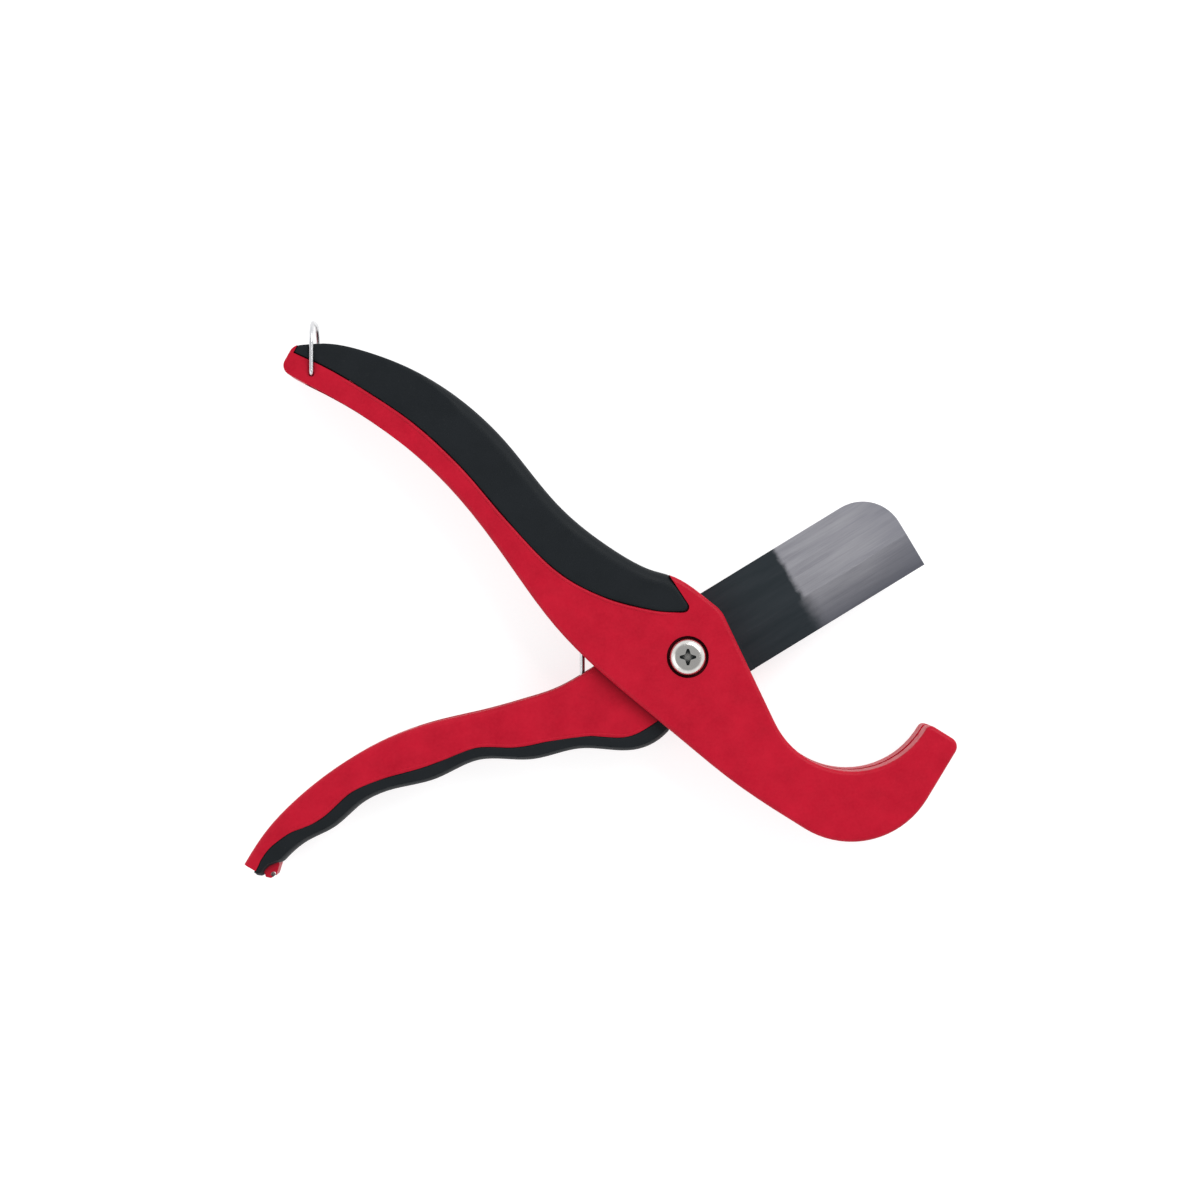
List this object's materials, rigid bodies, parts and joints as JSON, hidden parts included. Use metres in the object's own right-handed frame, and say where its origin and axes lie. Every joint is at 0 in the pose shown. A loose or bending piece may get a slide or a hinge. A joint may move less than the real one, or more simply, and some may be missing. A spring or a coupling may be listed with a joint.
{
  "type": "plastic pipe cutter",
  "caption": "One-hand scissor-action cutter for plastic pipe, with a curved jaw, a swinging blade, sprung handles with rubber grips and a wire bail that locks it shut.",
  "frame": {"origin": "on the pivot axis, level with the rear side face that the tool lies on", "axes": "+Z along the pivot axis out of the front side, +X towards the pipe jaw, +Y towards the side that the blade opens to"},
  "size_m": [0.1834, 0.1442, 0.0228],
  "materials": {
    "red_body": "satin glass-filled nylon",
    "black_rubber": "matte soft rubber",
    "blade_steel": "ground steel, blackened near the pivot",
    "nickel": "bright nickel plate",
    "spring_steel": "bright drawn wire",
    "nylon": "natural nylon",
    "bronze": "sintered bronze"
  },
  "bodies": {
    "frame": {"jaw_frame": "red_body", "upper_grip": "black_rubber", "rear_washer": "nylon", "front_washer": "nylon", "pivot_barrel": "nickel", "pivot_screw": "nickel", "lock_washer": "nickel"},
    "lever": {"lower_handle": "red_body", "lower_grip": "black_rubber", "blade": "blade_steel", "blade_pins": "spring_steel", "pivot_bushing": "bronze", "return_spring": "spring_steel"},
    "bail": {"lock_bail": "spring_steel"}
  },
  "joints": [
    {"name": "handle_pivot", "type": "hinge", "parent": "frame", "child": "lever", "pos_m": [0, 0, 0.0105], "axis": [0, 0, -1], "range_deg": [0, 58.3], "stiffness_Nm_per_rad": 0.5, "springref_deg": -34.38, "deforming": ["return_spring"]},
    {"name": "bail_pivot", "type": "hinge", "parent": "frame", "child": "bail", "pos_m": [-0.0967, 0.0728, 0.0105], "axis": [0, 0, 1], "range_deg": [-25, 147]}
  ]
}
